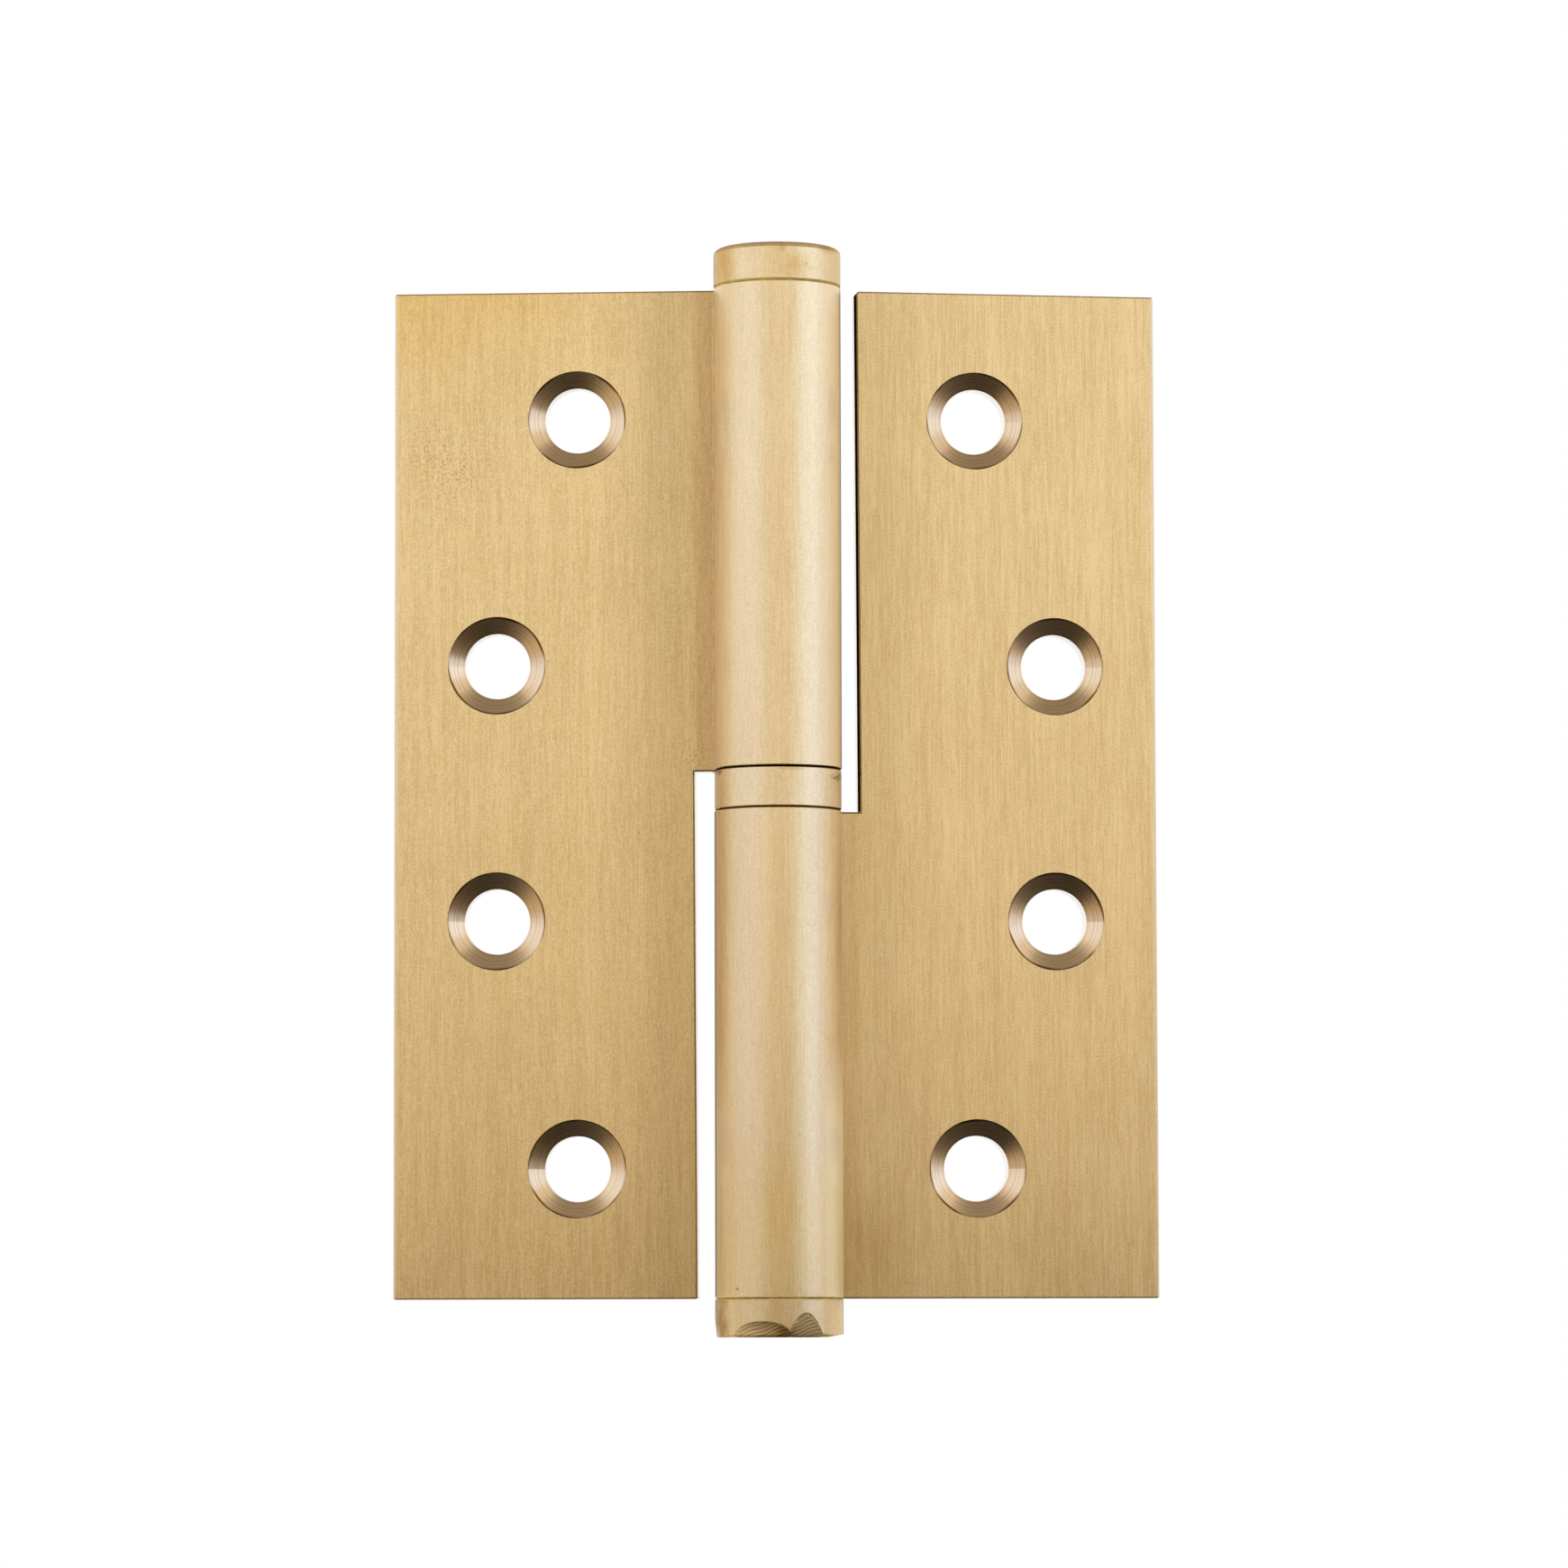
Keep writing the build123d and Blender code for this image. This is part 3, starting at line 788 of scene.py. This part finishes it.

# Cards that only the metal sees, which glow with the painted light and shade of the
# surroundings. A bowl stands for the bench below the object, painted dark in front of it where
# nothing lights it, bright behind and in pools below the lamps, with the warm foot of the studio's
# wall around it, lighter at the sides, and a grey disc overhead for the unlit ceiling.
BENCH_MIDDLE = -0.19
BENCH_LEVEL = 0.4  # radius of the bench's level middle
BENCH_RIM = -0.044
WALL_FOOT_TOP = 0.11
CEILING = 0.8


def card(name, radii, heights, stops):
    """A round card whose brightness follows its distance from the pin's axis, by a ramp."""
    sheet = round_sheet(name, radii, heights)
    made, tree, here = new_material(name)
    flat = add(tree, "VectorMath", {0: here, 1: (1, 1, 0)}, operation="MULTIPLY")
    reach = add(tree, "VectorMath", {0: flat}, operation="LENGTH").outputs["Value"]
    part = add(tree, "Math", {0: reach, 1: max(radii)}, operation="DIVIDE")
    ramp = add(tree, "ValToRGB", {"Fac": part}, stops=stops)
    shader = add(tree, "Emission", {"Color": ramp, "Strength": 1.0})
    add(tree, "OutputMaterial", {"Surface": shader})
    sheet.data.materials.append(made)
    for ray in ("camera", "diffuse", "transmission", "volume_scatter", "shadow"):
        setattr(sheet, "visible_" + ray, False)
    return tree, here, ramp, shader


reach = np.linspace(0.001, 1.0, 40)
rise = np.clip((reach - BENCH_LEVEL) / (1 - BENCH_LEVEL), 0, 1) ** 2
bowl = BENCH_MIDDLE + (BENCH_RIM - BENCH_MIDDLE) * rise
tree, here, ramp, shader = card(
    "bench card", np.append(reach, [1.03, 1.06]),
    np.append(bowl, [(BENCH_RIM + WALL_FOOT_TOP) / 2, WALL_FOOT_TOP]), [
        (0.0, "#1F1C17"), (0.17, "#2E2A23"), (0.40, "#5C5447"), (0.75, "#80735A"),
        (0.94, "#9A8862"), (0.945, "#EFE6D4"), (1.0, "#FAF7F2"),
    ],
)
x, y, z = add(tree, "SeparateXYZ", {0: here}).outputs
aside = add(tree, "Math", {0: x}, operation="ABSOLUTE")
aside = add(tree, "MapRange", {"Value": aside, "From Min": 0.4, "From Max": 0.75})
wall = add(tree, "MapRange", {"Value": z, "From Min": BENCH_RIM - 0.01, "From Max": BENCH_RIM})
aside = add(tree, "Math", {0: aside, 1: wall}, operation="MULTIPLY")
lit = add(tree, "Mix", {0: aside, 6: ramp, 7: linear("#FFF8F0")}, data_type="RGBA")
behind = add(tree, "MapRange", {"Value": y, "From Min": -0.02, "From Max": 0.12})
lit = add(tree, "Mix", {0: behind, 6: lit, 7: linear("#FFFFFF")}, data_type="RGBA")
# Painted pools of light on the bench below the two soft boxes
for centre, edge, core in (((-0.75, -0.3, -0.15), 0.62, 0.25), ((0.9, -0.35, -0.08), 0.45, 0.15)):
    offset = add(tree, "VectorMath", {0: here, 1: centre}, operation="SUBTRACT")
    reach = add(tree, "VectorMath", {0: offset}, operation="LENGTH").outputs["Value"]
    pool = add(tree, "MapRange", {"Value": reach, "From Min": edge, "From Max": core})
    lit = add(tree, "Mix", {0: pool, 6: lit, 7: linear("#DCCEB4")}, data_type="RGBA")
tree.links.new(lit.outputs[2], shader.inputs["Color"])
card("ceiling card", np.linspace(0.001, 1.0, 12), np.full(12, CEILING), [
    (0.0, "#8E867C"), (0.5, "#8A8278"), (0.75, "#9A9288"), (1.0, "#FFFFFF"),
])

# Lamps. Two wide soft boxes, left and right of the camera, that draw the pale bands on the barrel.
# They are cool like daylight, which makes the bands cream on the yellow metal, and leave the floor
# to the world's plain light.
DAYLIGHT = "#7FAEFF"


def soft_box(name, azimuth, distance, width, low, high, brightness):
    """An upright soft box that faces the pin's axis. Its power is brightness times pi times its area."""
    data = bpy.data.lights.new(name, "AREA")
    data.shape, data.size, data.size_y = "RECTANGLE", width, high - low
    data.energy = brightness * math.pi * width * (high - low)
    data.color = linear(DAYLIGHT)[:3]
    lamp = bpy.data.objects.new(name, data)
    angle = math.radians(azimuth)
    lamp.location = (distance * math.sin(angle), -distance * math.cos(angle), (low + high) / 2)
    lamp.rotation_euler = (math.pi / 2, 0, angle)
    lamp.visible_camera = lamp.visible_diffuse = False
    bpy.context.collection.objects.link(lamp)


soft_box("left soft box", azimuth=-64, distance=0.9, width=1.0, low=-0.15, high=0.58, brightness=0.76)
soft_box("right soft box", azimuth=55, distance=0.9, width=0.78, low=-0.15, high=0.40, brightness=1.45)

# World. White where the camera or a reflection looks past the floor, dimmer as fill light.
FILL = 0.8
world = bpy.data.worlds.new("white studio")
bpy.context.scene.world = world
world.use_nodes = True
tree = world.node_tree
tree.nodes.clear()
rays = add(tree, "LightPath").outputs
seen = add(tree, "Math", {0: rays["Is Camera Ray"], 1: rays["Is Glossy Ray"]}, operation="MAXIMUM")
seen = add(tree, "Math", {0: seen, 1: rays["Is Transmission Ray"]}, operation="MAXIMUM")
fill = add(tree, "Background", {"Color": linear("#FFFFFF"), "Strength": FILL})
white = add(tree, "Background", {"Color": linear("#FFFFFF"), "Strength": 1.0})
both = add(tree, "MixShader", {0: seen, 1: fill, 2: white})
add(tree, "OutputWorld", {"Surface": both})

# Camera. Long lens just below mid-height, tilted up a little, as far round the pin as the photo's.
PICTURE_WIDTH = 1740
FOCAL_PIXELS = 7629.9
SENSOR_WIDTH = 36.0
EYE = (-3.61, -676.38, -54.13)  # millimetres, before the camera goes round the pin
ROUND_THE_PIN = -8.22
YAW, TILT, ROLL = -0.345, 4.631, 0.115
data = bpy.data.cameras.new("camera")
data.sensor_width = SENSOR_WIDTH
data.lens = FOCAL_PIXELS / PICTURE_WIDTH * SENSOR_WIDTH
camera = bpy.data.objects.new("camera", data)
bpy.context.collection.objects.link(camera)
look = (
    Matrix.Rotation(math.radians(ROLL), 3, "Y")
    @ Matrix.Rotation(math.radians(TILT), 3, "X")
    @ Matrix.Rotation(math.radians(YAW), 3, "Z")
)
round_pin = Matrix.Rotation(math.radians(ROUND_THE_PIN), 3, "Z")
right, forward, up = (round_pin @ look.col[i] for i in range(3))
turned_to = Matrix((right, up, -forward)).transposed().to_4x4()
camera.matrix_world = Matrix.Translation(round_pin @ Vector(EYE) / 1000) @ turned_to
bpy.context.scene.camera = camera
bpy.context.scene.view_settings.view_transform = "Standard"
